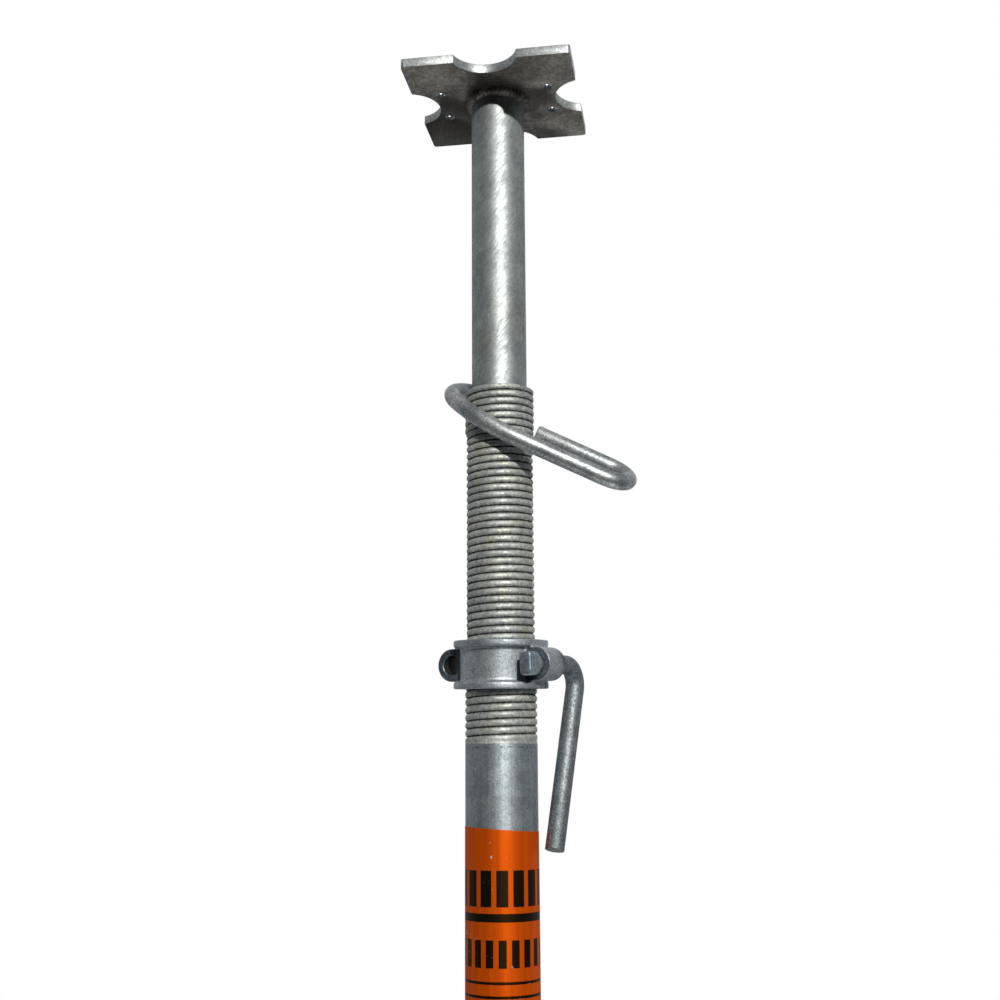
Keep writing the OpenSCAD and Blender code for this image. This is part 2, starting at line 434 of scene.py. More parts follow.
@dataclass(frozen=True)
class ZincFinish:
    """Hot-dip galvanised steel: a blotched zinc skin with slanting wipe marks, fine grain and dark pits."""

    name: str
    base: str
    light: str
    stain: str
    cloud_mm: float = 26.0
    mottle_mm: float = 3.4
    mottle_depth: float = 0.16
    grain_mm: float = 1.3
    grain_depth: float = 0.12
    fleck_mm: float = 1.9
    fleck_depth: float = 0.2
    line_mm: float = 2.6
    line_stretch: float = 60.0
    line_depth: float = 0.0
    stain_mm: float = 55.0
    stain_share: float = 0.35
    pit_mm: float = 9.0
    pit_size: float = 0.10
    pit_share: float = 0.35
    pit_flat: float = 1.0
    pit_ragged: float = 1.6
    pit_row_mm: float | None = None
    wipe_deg: float = 35.0
    wipe_stretch: float = 2.8
    dirt: tuple[DirtAndShade, ...] = ()
    metallic: float = 0.78
    roughness: float = 0.54
    roughness_spread: float = 0.06
    bump_mm: float = 0.10
    bump_strength: float = 0.6
    pit_bump: float = 1.5

    def build(self) -> Material:
        """Makes the material.

        Returns:
            The finished material.
        """
        material, add = new_material(self.name)
        self.patterns(add)
        self.skin(add)
        self.pits(add)
        # Dark layers: dirt and scorch, and in some finishes painted shade.
        for layer in self.dirt:
            self.lay_dirt_and_shade(add, layer)
        rough, spread = self.roughness, self.roughness_spread
        add("rough", "MapRange", ("mottle", *NOISE_SPAN, rough + spread, rough - spread))
        add("height", "Math ADD", ("grain", "mottle"))
        add("height", "Math MULTIPLY_ADD", ("pit", -self.pit_bump, "height"))
        add("bump", "Bump", {
            "Height": "height", "Distance": self.bump_mm * MM, "Strength": self.bump_strength})
        add("shader", "BsdfPrincipled", {
            "Base Color": "colour", "Roughness": "rough", "Normal": "bump", "Metallic": self.metallic})
        add("out", "OutputMaterial", {"Surface": "shader"})
        return material

    def patterns(self, add: Add) -> None:
        """Adds the patterns that the colour and the relief share.

        Args:
            add: Adds a node to the material.
        """
        add("coords", "TexCoord")
        for name, stretch in (("place", 1.0), ("flattened", self.pit_flat), ("drawn", self.line_stretch)):
            add(name, "Mapping", {"Vector": "coords.Object", "Scale": (1 / MM, 1 / MM, 1 / MM / stretch)})
        add("turned", "Mapping", {"Vector": "place", "Rotation": (0, math.radians(self.wipe_deg), 0)})
        add("wiped", "Mapping", {"Vector": "turned", "Scale": (1, 1, 1 / self.wipe_stretch)})
        for name, source, size_mm, detail, rough in (
                ("mottle", "wiped", self.mottle_mm, 4.0, 0.65), ("grain", "place", self.grain_mm, 2.0, 0.7),
                ("cloud", "place", self.cloud_mm, 4.0, 0.6), ("stain", "place", self.stain_mm, 5.0, 0.65),
                ("lines", "drawn", self.line_mm, 3.0, 0.6)):
            add(name, "TexNoise", {
                "Vector": source, "Scale": 1 / size_mm, "Detail": detail, "Roughness": rough})
        add("flecks", "TexVoronoi", {"Vector": "wiped", "Scale": 1 / self.fleck_mm})

    def skin(self, add: Add) -> None:
        """Adds the zinc's own colour: two greys in clouds, stained, and shaded by the finer patterns.

        Args:
            add: Adds a node to the material.
        """
        add("lightness", "MapRange", ("cloud", 0.36, 0.64))
        add("colour", "Mix", {0: "lightness", 6: linear(self.base), 7: linear(self.light)})
        add("stained", "MapRange", ("stain", 0.46, 0.7, 0.0, self.stain_share))
        add("colour", "Mix", {0: "stained", 6: "colour", 7: linear(self.stain)})
        tone: Any = 1.0
        for source, low, high, depth in (
                ("mottle", *NOISE_SPAN, self.mottle_depth), ("grain", *NOISE_SPAN, self.grain_depth),
                ("flecks.Color", 0.1, 0.9, self.fleck_depth), ("lines", 0.35, 0.65, self.line_depth)):
            add("shade", "MapRange", (source, low, high, 1 - depth, 1 + depth))
            tone = add("tone", "Math MULTIPLY", (tone, "shade"))
        add("grey", "CombineColor", (tone, tone, tone))
        add("colour", "Mix", {0: 1.0, 6: "colour", 7: "grey"}, blend_type="MULTIPLY")

    def pits(self, add: Add) -> None:
        """Adds ragged dark pits in a share of the cells of a pattern, and a row of them at one height.

        Args:
            add: Adds a node to the material.
        """
        size, share, ragged = self.pit_size, self.pit_share, self.pit_ragged
        add("cells", "TexVoronoi", {"Vector": "flattened", "Scale": 1 / self.pit_mm})
        add("reach", "Math MULTIPLY_ADD", ("grain", ragged * size, "cells"))
        add("spot", "MapRange", ("reach", (ragged / 2 + 1.0) * size, (ragged / 2 + 0.4) * size))
        add("chosen", "MapRange", ("cells.Color", 0.95 - share, 1.05 - share))
        add("pit", "Math MULTIPLY", ("spot", "chosen"))
        add("colour", "Mix", {0: "pit", 6: "colour", 7: linear(SOOT_AND_SHADE)})
        if self.pit_row_mm:
            add("axes", "SeparateXYZ", ("place",))
            add("off", "Math SUBTRACT", ("axes.Z", self.pit_row_mm))
            add("off", "Math ABSOLUTE", ("off",))
            add("row", "MapRange", ("off", 0.9, 0.3))
            add("broken", "MapRange", ("mottle", 0.5, 0.62, 0.0, 0.8))
            add("row", "Math MULTIPLY", ("row", "broken"))
            add("colour", "Mix", {0: "row", 6: "colour", 7: linear(SOOT_AND_SHADE)})

    @staticmethod
    def lay_dirt_and_shade(add: Add, layer: DirtAndShade) -> None:
        """Lays one dark layer over the colour, which is dirt in some finishes and painted shade in others.

        Args:
            add: Adds a node to the material.
            layer: The dark layer's colour, place and edge.
        """
        edge = "mottle"
        if layer.blotch_mm:
            edge = add("blotch", "TexNoise", {
                "Vector": "place", "Scale": 1 / layer.blotch_mm, "Detail": 3.0, "Roughness": 0.6})
        if layer.along:
            add("distance", "VectorMath DOT_PRODUCT", ("place", layer.along))
        else:
            add("flat", "VectorMath MULTIPLY", ("place", (1, 1, 0)))
            add("distance", "VectorMath LENGTH", ("flat",))
        add("ragged", "MapRange", (edge, *NOISE_SPAN, -layer.ragged_mm, layer.ragged_mm))
        add("reach", "Math ADD", ("distance.Value", "ragged"))
        add("dirt", "MapRange", ("reach", *layer.fade_mm, 0.0, layer.depth))
        add("colour", "Mix", {0: "dirt", 6: "colour", 7: linear(layer.colour)})


@dataclass(frozen=True)
class InkRow:
    """One printed row of plain marks: upright blocks spaced evenly round the tube, or an unbroken line."""

    down_mm: float
    tall_mm: float
    blocks: int = 0
    fill: float = 1.0


@dataclass(frozen=True)
class LabelFinish:
    """Printed vinyl film: a satin orange sheet with plain black marks, scuffed through in places."""

    name: str = "printed_vinyl_film"
    film: str = "#d6580c"
    deep: str = "#c54b08"
    gloss: str = "#ffc070"
    ink: str = "#0a0908"
    bare: str = "#d8d2c8"
    rows: tuple[InkRow, ...] = (
        InkRow(31.0, 28.0, 14, 0.7), InkRow(64.0, 6.5), InkRow(84.0, 21.0, 18, 0.6),
        *(InkRow(down, 2.2) for down in (115.0, 125.5, 136.0, 146.5, 157.0)),
        InkRow(192.0, 28.0, 14, 0.7), InkRow(225.0, 6.5), InkRow(245.0, 21.0, 18, 0.6))
    top: float = 1.319
    round_mm: float = 191.0
    soft_mm: float = 0.15
    roughness: float = 0.44
    metallic: float = 0.45
    specular: float = 0.25
    bump_mm: float = 0.08

    def build(self) -> Material:
        """Makes the material.

        Returns:
            The finished material.
        """
        material, add = new_material(self.name)
        add("coords", "TexCoord")
        for name, stretch in (("place", 1.0), ("drawn", 30.0)):
            add(name, "Mapping", {"Vector": "coords.Object", "Scale": (1 / MM, 1 / MM, 1 / MM / stretch)})
        for name, source, size_mm, detail, rough in (
                ("streak", "drawn", 6.0, 3.0, 0.6), ("wear", "place", 6.0, 6.0, 0.7),
                ("where", "place", 30.0, 1.0, 0.6)):
            add(name, "TexNoise", {
                "Vector": source, "Scale": 1 / size_mm, "Detail": detail, "Roughness": rough})
        add("depth", "MapRange", ("streak", 0.35, 0.7))
        add("colour", "Mix", {0: "depth", 6: linear(self.film), 7: linear(self.deep)})
        add("axes", "SeparateXYZ", ("place",))
        add("down", "Math SUBTRACT", (self.top / MM, "axes.Z"))
        add("turn", "Math ARCTAN2", ("axes.Y", "axes.X"))
        add("turn", "Math DIVIDE", ("turn", FULL_TURN))
        add("edge", "Math MULTIPLY_ADD", ("wear", 0.5, -0.25))
        inked: Any = 0.0
        for row in self.rows:
            inked = add("inked", "Math MAXIMUM", (self.mark(add, row), inked))
        add("colour", "Mix", {0: "inked", 6: "colour", 7: linear(self.ink)})
        add("rubbed", "MapRange", ("wear", 0.61, 0.64))
        add("here", "MapRange", ("where", 0.6, 0.66))
        add("scuff", "Math MULTIPLY", ("rubbed", "here"))
        add("colour", "Mix", {0: "scuff", 6: "colour", 7: linear(self.bare)})
        add("height", "Math SUBTRACT", ("streak", "scuff"))
        add("bump", "Bump", {"Height": "height", "Distance": self.bump_mm * MM, "Strength": 0.5})
        add("metal", "MapRange", ("inked", 0.0, 1.0, self.metallic, 0.0))
        add("shader", "BsdfPrincipled", {
            "Base Color": "colour", "Normal": "bump", "Metallic": "metal", "Roughness": self.roughness,
            "Specular IOR Level": self.specular, "Specular Tint": linear(self.gloss)})
        add("out", "OutputMaterial", {"Surface": "shader"})
        return material

    def mark(self, add: Add, row: InkRow) -> str:
        """Draws one row of marks.

        Args:
            add: Adds a node to the material.
            row: The row's sizes.

        Returns:
            Name of the mask, one on the marks and zero off them.
        """
        half = row.tall_mm / 2
        soft = self.soft_mm
        add("off", "Math SUBTRACT", ("down", row.down_mm + half))
        add("off", "Math ABSOLUTE", ("off",))
        add("off", "Math ADD", ("off", "edge"))
        add("mark", "MapRange", ("off", half + soft, half - soft))
        if row.blocks:
            soft *= row.blocks / self.round_mm
            add("along", "Math MULTIPLY", ("turn", row.blocks))
            add("along", "Math FRACT", ("along",))
            add("off", "Math SUBTRACT", ("along", 0.5))
            add("off", "Math ABSOLUTE", ("off",))
            add("block", "MapRange", ("off", row.fill / 2 + soft, row.fill / 2 - soft))
            add("mark", "Math MULTIPLY", ("mark", "block"))
        return "mark"


class Finish(Enum):
    """The finishes of the prop, named for their real materials, some also for the light or shade painted
    into them.
    """

    # Drawn tube: smooth zinc with slanting wipe marks and short pits.
    INNER_TUBE = ZincFinish(
        "galvanised_drawn_tube", "#949da1", "#a8b0b3", "#8f8e8a", pit_mm=5.0, pit_flat=0.5, pit_share=0.42,
        mottle_depth=0.12, mottle_mm=2.4, wipe_stretch=4.0, wipe_deg=-38, fleck_depth=0.10, grain_depth=0.14,
        bump_mm=0.05)
    # Welded tube: bluish zinc with fine lines along the tube, and pits where the thread runs out.
    OUTER_TUBE = ZincFinish(
        "galvanised_welded_tube", "#8a969f", "#9da9b1", "#8f9090", mottle_depth=0.07, mottle_mm=2.4,
        fleck_depth=0.12, fleck_mm=1.4, grain_depth=0.16, line_depth=0.07, roughness=0.48,
        cloud_mm=14.0, pit_mm=7.0, wipe_stretch=1.0, pit_row_mm=1384.6)
    # Rolled thread: ridges polished grey with a yellowish tinge, grooves darkened to black as painted shade.
    THREAD = ZincFinish(
        "galvanised_rolled_thread", "#a4abad", "#bfc5c4", "#b6b799", stain_share=0.45, stain_mm=16.0,
        pit_mm=4.0, pit_size=0.15, pit_share=0.5, pit_flat=0.5, roughness=0.60, metallic=0.65,
        # Painted shade: near-black laid into the grooves by distance from the axis.
        dirt=(DirtAndShade(SOOT_AND_SHADE, (29.8, 28.7), 0.9, 0.18),), wipe_stretch=1.0, mottle_depth=0.1)
    # Plate undersides: dull brownish zinc, darker and browner than the upper faces as painted shade, darker
    # round the weld, partly scorch and partly painted shade, and near-black painted shade over one side.
    PLATE = ZincFinish(
        "galvanised_plate", "#7e7c78", "#9d9a94", "#33302d", cloud_mm=30.0, roughness=0.56,
        stain_share=0.45, stain_mm=45.0, pit_mm=4.0, pit_size=0.17, pit_share=0.6, fleck_depth=0.2,
        wipe_stretch=1.0, dirt=(
            # Darker round the weld: partly scorch, partly painted shade.
            DirtAndShade("#33302d", (66.0, 28.0), 0.85, 14.0, 24.0),
            # Painted shade: one side of the underside darkened to near-black.
            DirtAndShade(SOOT_AND_SHADE, (-6.0, -42.0), 0.92, 12.0, 30.0, (0.45, -0.9, 0.0))))
    # Upper faces of the plates: the same zinc, only a little scorched round the weld.
    PLATE_TOP = ZincFinish(
        "galvanised_plate_top", "#86888a", "#a3a5a5", "#5a5753", cloud_mm=30.0, roughness=0.56,
        stain_share=0.5, stain_mm=45.0, pit_mm=4.0, pit_size=0.17, pit_share=0.4, fleck_depth=0.2,
        wipe_stretch=1.0, dirt=(DirtAndShade("#5a5753", (50.0, 28.0), 0.85, 14.0, 24.0),))
    # Cut edges of the plates: a lighter copy of the plate zinc as a painted highlight, with short dark
    # marks.
    PLATE_EDGE = ZincFinish(
        "galvanised_edge_painted_highlight", "#a9b0b5", "#c2c8cc", "#8a8c8e", pit_mm=4.0, pit_size=0.2,
        pit_share=0.5, pit_flat=0.5, roughness=0.45, wipe_stretch=1.0)
    # Weld bead: dark and coarse.
    WELD = ZincFinish(
        "galvanised_weld_bead", "#4b4946", "#86837e", "#2c2a28", grain_depth=0.2, mottle_depth=0.25,
        cloud_mm=12.0, pit_mm=4.0, stain_mm=14.0, stain_share=0.8, wipe_stretch=1.0)
    # Casting: fine sandy grain, with bluish patches.
    NUT = ZincFinish(
        "galvanised_casting", "#9ea8ae", "#b3bdc4", "#74808a", grain_mm=0.9, grain_depth=0.24,
        mottle_mm=2.0, bump_mm=0.25, pit_share=0.08, roughness=0.50, fleck_mm=1.1, stain_mm=30.0,
        stain_share=0.5, wipe_stretch=1.0, mottle_depth=0.10,
        dirt=(DirtAndShade(SOOT_AND_SHADE, (27.0, 45.0), 0.65, 12.0, 30.0, (0.86, 0.5, 0.0)),))
    # End faces of the bosses: machined, dark and bluish.
    BOSS_FACE = ZincFinish(
        "machined_casting", "#5d6871", "#78848e", "#4a535b", grain_mm=0.9, stain_mm=14.0, pit_share=0.1,
        roughness=0.46, wipe_stretch=1.0)
    # Bores of the bosses and rims round the nail holes: nearly black, as painted shade.
    HOLE_SHADE = ZincFinish(
        "painted_shade_in_holes", "#242525", "#2e3031", "#1c1b1b", roughness=0.62, metallic=0.4, wipe_stretch=1.0)
    # Handle: speckled blue-grey bar with brownish patches.
    HANDLE = ZincFinish(
        "galvanised_round_bar", "#7a848b", "#878f96", "#6c6862", grain_depth=0.3, grain_mm=0.9,
        stain_share=0.4, stain_mm=40.0, pit_mm=5.0, pit_share=0.4, bump_mm=0.16, roughness=0.56,
        fleck_mm=1.1, fleck_depth=0.3, mottle_mm=2.2, wipe_stretch=1.0)
    # Forged head of the handle: bluish steel, worn bright.
    FORGED_HEAD = ZincFinish(
        "galvanised_forged_head", "#8797a4", "#a3b1bc", "#5d6a75", grain_mm=0.9, stain_mm=12.0, pit_mm=4.0,
        roughness=0.42, wipe_stretch=1.0)
    # Printed film: satin orange with plain black marks.
    LABEL = LabelFinish()
    # Loop pin: the brightest bar, with a clear highlight.
    PIN = ZincFinish(
        "galvanised_bright_bar", "#aab0b5", "#c9ced2", "#77838f", grain_mm=0.9, grain_depth=0.22,
        roughness=0.46, stain_mm=22.0, stain_share=0.6, metallic=0.85, fleck_mm=1.3, fleck_depth=0.26,
        mottle_mm=2.2, wipe_stretch=1.0)


# ---- Sub-assemblies ----


@dataclass
class Prop:
    """What all sub-assemblies share: the frame and its finishes."""

    frame: dict[str, Any]
    finishes: dict[Finish, Material] = field(default_factory=dict)

    def place(self, obj: Object, body: Body, node: str, *finishes: Finish,
              choose: Callable[[MeshPolygon], Finish] | None = None) -> None:
        """Dresses a piece, lets it ride on its body and puts it in a node's place.

        Args:
            obj: The finished piece.
            body: The body that it moves with.
            node: The CAD node that it stands for.
            finishes: Finishes of its material slots, in order.
            choose: Tells the finish of a face, where there are several.
        """
        obj.data.materials.clear()
        for kind in finishes:
            if kind not in self.finishes:
                self.finishes[kind] = kind.value.build()
            obj.data.materials.append(self.finishes[kind])
        if choose:
            for polygon in obj.data.polygons:
                polygon.material_index = finishes.index(choose(polygon))
        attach(obj, body.value)
        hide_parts(node)
        log.info("%s: %d faces", obj.name, len(obj.data.polygons))

    def joint(self, name: str) -> dict[str, Any]:
        """Gives a joint's row."""
        return next(joint for joint in self.frame["joints"] if joint["name"] == name)


@dataclass
class EndPlates:
    """The square plates at the head and the foot, and the weld beads that hold the tubes on them."""

    prop: Prop
    corner_r: float = 3 * MM
    hole_gap: tuple[float, float] = (98 * MM, 42 * MM)
    hole_r: float = 4.5 * MM
    cutout_r: float = 29 * MM
    cutout_depth: float = 21 * MM
    side: float = 150 * MM
    head_turn_deg: float = -8.85
    edge_round: float = 0.7 * MM
    bead_points: int = 7
    bead_steps: int = 288
    bead_sunk: float = 0.3 * MM
    ripples: int = 46
    ripple_depth: float = 0.10
    ripple_lean: float = 1.5
    bead_inset: float = 0.05
    wander: tuple[tuple[float, float, float], ...] = ((0.024, 3, 1), (0.018, 7, 0))

    def plate(self, name: str, node: str, turn_deg: float, body: Body) -> None:
        """Builds one plate with its nail holes and edge cut-outs.

        Args:
            name: Name of the piece.
            node: The CAD node that it stands for.
            turn_deg: Its turn about the tubes.
            body: The body that it rides on.
        """
        low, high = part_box(node)
        thick = high.z - low.z
        bm = bmesh.new()
        bmesh.ops.create_cube(bm, size=1, matrix=Matrix.Diagonal((self.side, self.side, thick, 1)))
        upright = [edge for edge in bm.edges if abs(edge.verts[0].co.z - edge.verts[1].co.z) > thick / 2]
        bmesh.ops.bevel(bm, geom=upright, offset=self.corner_r, offset_type="OFFSET", affect="EDGES",
                        segments=6, profile=0.5, material=-1)
        obj = to_object(bm, name)
        cut = bmesh.new()
        for turn in range(4):
            angle = turn * math.pi / 2
            reach = self.side / 2 + self.cutout_r - self.cutout_depth
            at = Matrix.Translation((reach * math.cos(angle), reach * math.sin(angle), 0))
            add_cylinder(cut, self.cutout_r, 3 * thick, at, 96)
        holes = [Vector((x * self.hole_gap[0] / 2, y * self.hole_gap[1] / 2, 0))
                 for x in (-1, 1) for y in (-1, 1)]
        for hole in holes:
            add_cylinder(cut, self.hole_r, 3 * thick, Matrix.Translation(hole), 40)
        carve(obj, to_object(cut, "cutter"))
        place = Matrix.Translation((0, 0, (low.z + high.z) / 2)) @ Matrix.Rotation(
            math.radians(turn_deg), 4, "Z")

        def soften(bm: BMesh) -> None:
            """Rounds the edges and puts the plate in place.

            Args:
                bm: The mesh.
            """
            bmesh.ops.dissolve_limit(bm, angle_limit=math.radians(0.5), verts=bm.verts, edges=bm.edges)
            round_edges(bm, self.edge_round)
            bmesh.ops.transform(bm, matrix=place, verts=bm.verts)

        bake(obj, 30, soften)

        def part(polygon: MeshPolygon) -> Finish:
            """Tells the upper face, the edges with their painted highlight, and the nail holes with rims in
            painted shade from the rest.

            Args:
                polygon: A face of the plate.

            Returns:
                Its finish.
            """
            level = polygon.normal.z
            if min((polygon.center - hole).xy.length for hole in holes) < self.hole_r + 1 * MM:
                # Rims round the holes get painted shade, and the hole walls get the edges' painted
                # highlight.
                return Finish.PLATE_EDGE if abs(level) < 0.3 else Finish.HOLE_SHADE
            if level > 0.5:
                return Finish.PLATE_TOP
            # Edges get the lighter copy, a painted highlight, and undersides the darker copy, painted shade.
            return Finish.PLATE_EDGE if level > -0.5 else Finish.PLATE

        holes = [place @ hole for hole in holes]
        self.prop.place(obj, body, node, Finish.PLATE, Finish.PLATE_EDGE, Finish.PLATE_TOP, Finish.HOLE_SHADE,
                        choose=part)

    def bead(self, name: str, node: str, tube_r: float, body: Body, downwards: bool) -> None:
        """Builds one weld bead: a rounded fillet with the ripples of the welder's steps.

        Args:
            name: Name of the piece.
            node: The CAD node that it stands for.
            tube_r: Radius of the tube.
            body: The body that it rides on.
            downwards: Whether the bead hangs below its plate.
        """
        low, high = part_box(node)
        leg = high.x - tube_r
        bm = bmesh.new()
        sunk = self.bead_sunk
        quarter = math.pi / 2 / (self.bead_points - 1)
        arc = [(tube_r + leg * math.cos(i * quarter), leg * math.sin(i * quarter))
               for i in range(self.bead_points)]
        profile = [(tube_r + leg, -sunk), *arc, (tube_r - sunk, leg), (tube_r - sunk, -sunk)]
        revolve(bm, profile, self.bead_steps)
        for vert in bm.verts:
            radius = vert.co.xy.length
            out, up = radius - tube_r, vert.co.z
            if min(out, up) < 0:
                continue
            angle = math.atan2(vert.co.y, vert.co.x)
            wave = 0.5 + 0.5 * math.cos(self.ripples * angle + up / leg * self.ripple_lean)
            wander = sum(size * math.sin(waves * angle + start) for size, waves, start in self.wander)
            keep = min(1 - self.bead_inset - self.ripple_depth * wave ** 2 + wander, 1.0)
            vert.co.xy *= (tube_r + out * keep) / radius
            vert.co.z = up * keep
        flip = Matrix.Diagonal((1, 1, -1, 1)) if downwards else Matrix()
        base = high.z if downwards else low.z
        obj = to_object(bm, name, Matrix.Translation((0, 0, base)) @ flip, 60)
        self.prop.place(obj, body, node, Finish.WELD)

    def build(self) -> None:
        """Builds both plates and both beads."""
        self.plate("base_plate_steel", "base_plate", 0, Body.OUTER)
        self.plate("head_plate_steel", "head_plate", self.head_turn_deg, Body.INNER)
        outer_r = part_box("outer_tube")[1].x
        inner_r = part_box("inner_tube")[1].x
        self.bead("base_weld_bead", "base_weld", outer_r, Body.OUTER, False)
        self.bead("head_weld_bead", "head_weld", inner_r, Body.INNER, True)


@dataclass
class OuterTube:
    """The threaded and slotted outer tube."""

    prop: Prop
    wall: float = 4 * MM
    thread_length: float = 304.5 * MM
    pitch: float = 6.35 * MM
    depth: float = 1.7 * MM
    first_groove: float = 11.4 * MM
    ridge_power: float = 2.5
    profile_points: int = 12
    slot_w: float = 19 * MM
    slot_length: float = 200 * MM
    slot_below_rim: float = 36 * MM
    chamfer: float = 0.4 * MM
    merge: float = 20e-6
    sides: int = 96

    def build(self) -> None:
        """Builds the tube with its helical thread, then cuts the slots."""
        low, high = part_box("outer_tube")
        crest = high.x
        rim, foot = high.z, low.z
        end = rim - self.thread_length
        bm = bmesh.new()
        turns = math.ceil(self.thread_length / self.pitch) + 3
        start = end - 1.5 * self.pitch
        phase = (rim - self.first_groove - start) % self.pitch
        points = []
        for i in range(self.profile_points + 1):
            share = i / self.profile_points
            drop = self.depth * abs(2 * share - 1) ** self.ridge_power
            points.append((0, drop - crest, start + phase + (share - 1) * self.pitch))
        bmesh.ops.spin(bm, geom=chain(bm, points), cent=(0, 0, 0), axis=(0, 0, 1),
                       dvec=(0, 0, self.pitch / self.sides), angle=FULL_TURN, steps=self.sides,
                       use_merge=False, use_duplicate=False)
        one_turn = [*bm.verts, *bm.edges, *bm.faces]
        for turn in range(1, turns):
            made = bmesh.ops.duplicate(bm, geom=one_turn)["geom"]
            bmesh.ops.translate(bm, vec=(0, 0, turn * self.pitch),
                                verts=verts_of(made))
        bmesh.ops.remove_doubles(bm, verts=bm.verts, dist=self.merge)
        for height, upper in ((rim, True), (end, False)):
            bmesh.ops.bisect_plane(bm, geom=[*bm.verts, *bm.edges, *bm.faces], plane_co=(0, 0, height),
                                   plane_no=(0, 0, 1), clear_outer=upper, clear_inner=not upper)
        for vert in bm.verts:
            radius = math.hypot(vert.co.x, vert.co.y)
            fade = min(max((vert.co.z - end) / self.pitch, 0), 1)
            wanted = crest - (crest - radius) * fade * fade * (3 - 2 * fade)
            vert.co.x *= wanted / radius
            vert.co.y *= wanted / radius
        bore = crest - self.wall
        self.run_on(bm, end, [(crest, foot), (bore, foot)])
        self.run_on(bm, rim, [(bore + self.chamfer, rim), (bore, rim - self.chamfer)])
        edge = [e for e in bm.edges if len(e.link_faces) == 1]
        bmesh.ops.bridge_loops(bm, edges=edge)
        obj = to_object(bm, "outer_tube_steel", crease_deg=50)
        carve(obj, self.slot_cutter(rim, crest), 50)
        self.prop.place(obj, Body.OUTER, "outer_tube", Finish.OUTER_TUBE, Finish.THREAD,
                        choose=lambda face: Finish.THREAD if face.center.z > end else Finish.OUTER_TUBE)

    @staticmethod
    def run_on(bm: BMesh, height: float, stations: Sequence[tuple[float, float]]) -> None:
        """Runs the surface on from its open edge at a height, through rings of (radius, height).

        Args:
            bm: The mesh.
            height: Height of the open edge, in metres.
            stations: Radius and height of each new ring.
        """
        ring = [edge for edge in bm.edges if len(edge.link_faces) == 1
                and all(abs(vert.co.z - height) < 1e-6 for vert in edge.verts)]
        for radius, level in stations:
            made = bmesh.ops.extrude_edge_only(bm, edges=ring)["geom"]
            ring = [item for item in made
                    if isinstance(item, BMEdge) and len(item.link_faces) == 1]
            for vert in {vert for edge in ring for vert in edge.verts}:
                scale = radius / math.hypot(vert.co.x, vert.co.y)
                vert.co = Vector((vert.co.x * scale, vert.co.y * scale, level))

    def slot_cutter(self, rim: float, crest: float) -> Object:
        """Makes the bar with round ends that cuts both slots.

        Args:
            rim: Height of the tube's rim, in metres.
            crest: The tube's outer radius.

        Returns:
            The cutter.
        """
        bm = bmesh.new()
        top = rim - self.slot_below_rim - self.slot_w / 2
        made = bmesh.ops.create_circle(bm, cap_ends=True, radius=self.slot_w / 2, segments=32,
                                       matrix=Matrix.Translation((-2 * crest, 0, top)) @ SIDEWAYS)
        for vert in made["verts"]:
            if vert.co.z < top - 1e-6:
                vert.co.z -= self.slot_length - self.slot_w
        swept = bmesh.ops.extrude_face_region(bm, geom=list(bm.faces))["geom"]
        bmesh.ops.translate(bm, vec=(4 * crest, 0, 0),
                            verts=verts_of(swept))
        return to_object(bm, "cutter")


@dataclass
class Label:
    """The printed film round the outer tube, its top edge cut a little askew."""

    prop: Prop
    skew: float = 4.5 * MM
    rise: float = 2.7 * MM

    def build(self) -> None:
        """Builds the film and dresses it."""
        low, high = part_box("label")
        radius = high.x
        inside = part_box("outer_tube")[1].x
        bm = bmesh.new()
        rows = 12
        heights = [low.z + (high.z - low.z) * i / rows for i in range(rows + 1)]
        outer = [(radius, height) for height in heights]
        revolve(bm, [(inside, low.z), *outer, (inside, high.z)], 128)
        for vert in bm.verts:
            if vert.co.z > high.z - 1e-6:
                vert.co.z += self.rise - self.skew * (0.5 + 0.5 * vert.co.x / radius)
        self.prop.finishes[Finish.LABEL] = replace(Finish.LABEL.value, top=high.z).build()
        self.prop.place(to_object(bm, "label_film"), Body.OUTER, "label", Finish.LABEL)


@dataclass
class InnerTube:
    """The plain inner tube with its rows of pin holes."""

    prop: Prop
    wall: float = 3.2 * MM
    hole_r: float = 8 * MM
    first_hole: float = 420 * MM
    hole_gap: float = 100 * MM
    holes: int = 14
    chamfer: float = 0.4 * MM

    def build(self) -> None:
        """Builds the tube and drills it."""
        low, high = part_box("inner_tube")
        radius = high.x
        chamfer = self.chamfer
        bm = bmesh.new()
        levels = [high.z - self.first_hole - i * self.hole_gap for i in range(self.holes)]
        bands = sorted(level + side * 1.5 * self.hole_r for level in levels for side in (-1, 1))
        outer = [(radius - chamfer, low.z), (radius, low.z + chamfer), *((radius, z) for z in bands),
                 (radius, high.z)]
        bore = radius - self.wall
        inner = [(bore, high.z), *((bore, z) for z in reversed(bands)), (bore, low.z + chamfer),
                 (bore + chamfer, low.z)]
        revolve(bm, [*outer, *inner], 96)
        obj = to_object(bm, "inner_tube_steel")
        cut = bmesh.new()
        for level in levels:
            at = Matrix.Translation((0, 0, level)) @ SIDEWAYS
            add_cylinder(cut, self.hole_r, 4 * radius, at, 48)
        carve(obj, to_object(cut, "cutter"))
        self.prop.place(obj, Body.INNER, "inner_tube", Finish.INNER_TUBE)


